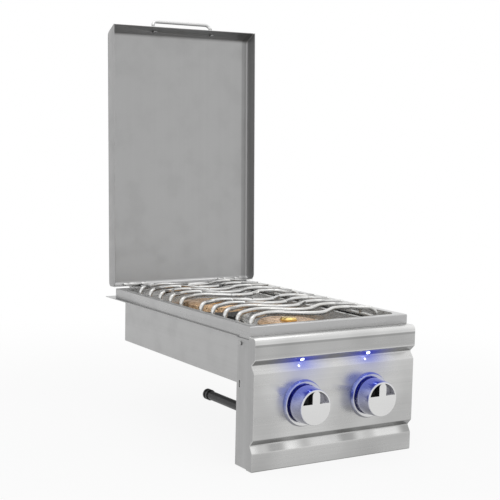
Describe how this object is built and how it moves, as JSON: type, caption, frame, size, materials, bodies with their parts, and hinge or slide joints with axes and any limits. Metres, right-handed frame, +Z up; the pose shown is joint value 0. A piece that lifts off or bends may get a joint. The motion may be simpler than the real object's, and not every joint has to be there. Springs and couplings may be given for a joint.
{
  "type": "built in side burner",
  "caption": "Drop-in outdoor gas burner unit with a hinged lid, ring burners under wavy rod grates, and a front panel with push-and-turn knobs.",
  "frame": {"origin": "middle of the worktop cut-out's width, in the plane of the counter flange's underside, at the front panel's main face", "axes": "+X to the right seen from the front, +Y to the back, +Z up"},
  "size_m": [0.3082, 0.5523, 0.7214],
  "materials": {
    "fascia_steel": "brushed along the width, rolled edges",
    "body_steel": "plain cold rolled sheet, satin",
    "frame_steel": "brushed along each side",
    "pan_steel": "bright rolled sheet, lightly blued near the burners",
    "rod_steel": "polished round bar",
    "lid_steel": "fine brushed sheet",
    "handle_metal": "polished bar",
    "hinge_steel": "bright pressed steel",
    "screw_steel": "machined",
    "burner_brass": "cast and turned, bright",
    "valve_brass": "machined",
    "cast_body": "cast, grey",
    "igniter_ceramic": "glazed insulator with a wire tip",
    "tube_aluminium": "drawn tube",
    "knob_metal": "silver satin, rounded edges",
    "bezel_metal": "silver satin",
    "led_lens": "frosted blue lens",
    "black_plastic": "matte",
    "pipe_iron": "black malleable iron",
    "pipe_black": "black satin"
  },
  "bodies": {
    "frame": {"fascia_panel": "fascia_steel", "fascia_end_left": "body_steel", "fascia_end_right": "body_steel", "fascia_screws": "screw_steel", "body_left": "body_steel", "body_right": "body_steel", "body_back": "body_steel", "body_bottom": "body_steel", "body_front": "body_steel", "counter_flange": "body_steel", "top_frame": "frame_steel", "burner_pan": "pan_steel", "burner_ring_front": "burner_brass", "burner_ring_rear": "burner_brass", "burner_cap_front": "burner_brass", "burner_cap_rear": "burner_brass", "burner_base_front": "cast_body", "burner_base_rear": "cast_body", "burner_screws": "screw_steel", "igniter_front": "igniter_ceramic", "igniter_rear": "igniter_ceramic", "orifice_front": "valve_brass", "orifice_rear": "valve_brass", "supply_tube_front": "tube_aluminium", "supply_tube_rear": "tube_aluminium", "valve_left": "valve_brass", "valve_right": "valve_brass", "bezel_left": "bezel_metal", "bezel_right": "bezel_metal", "led_left": "led_lens", "led_right": "led_lens", "led_holders": "black_plastic", "manifold": "pipe_iron", "manifold_brackets": "body_steel", "manifold_plug": "pipe_iron", "inlet_elbow": "pipe_iron", "inlet_pipe": "pipe_black", "inlet_fitting": "pipe_black", "hinge_leaf_frame": "hinge_steel", "hinge_pins": "hinge_steel", "hinge_screws": "screw_steel"},
    "lid": {"lid_shell": "lid_steel", "lid_handle": "handle_metal", "handle_screws": "screw_steel", "hinge_leaf_lid": "hinge_steel"},
    "front_grate": {"grate_front": "rod_steel"},
    "rear_grate": {"grate_rear": "rod_steel"},
    "collar_left": {"stem_collar_left": "screw_steel"},
    "collar_right": {"stem_collar_right": "screw_steel"},
    "knob_left": {"knob_left": "knob_metal", "valve_stem_left": "screw_steel"},
    "knob_right": {"knob_right": "knob_metal", "valve_stem_right": "screw_steel"}
  },
  "joints": [
    {"name": "lid_hinge", "type": "hinge", "parent": "frame", "child": "lid", "pos_m": [0, 0.4937, 0.0244], "axis": [1, 0, 0], "range_deg": [0, 91]},
    {"name": "front_grate_lift", "type": "slide", "parent": "frame", "child": "front_grate", "axis": [0, 0, 1], "range_m": [0, 0.12]},
    {"name": "rear_grate_lift", "type": "slide", "parent": "frame", "child": "rear_grate", "axis": [0, 0, 1], "range_m": [0, 0.12]},
    {"name": "knob_left_push", "type": "slide", "parent": "frame", "child": "collar_left", "axis": [0, 1, 0], "range_m": [0, 0.003], "stiffness_N_per_m": 800, "springref_m": -0.003},
    {"name": "knob_right_push", "type": "slide", "parent": "frame", "child": "collar_right", "axis": [0, 1, 0], "range_m": [0, 0.003], "stiffness_N_per_m": 800, "springref_m": -0.003},
    {"name": "knob_left_turn", "type": "hinge", "parent": "collar_left", "child": "knob_left", "pos_m": [-0.0633, 0, -0.101], "axis": [0, -1, 0], "range_deg": [0, 200]},
    {"name": "knob_right_turn", "type": "hinge", "parent": "collar_right", "child": "knob_right", "pos_m": [0.0633, 0, -0.101], "axis": [0, -1, 0], "range_deg": [0, 200]}
  ]
}
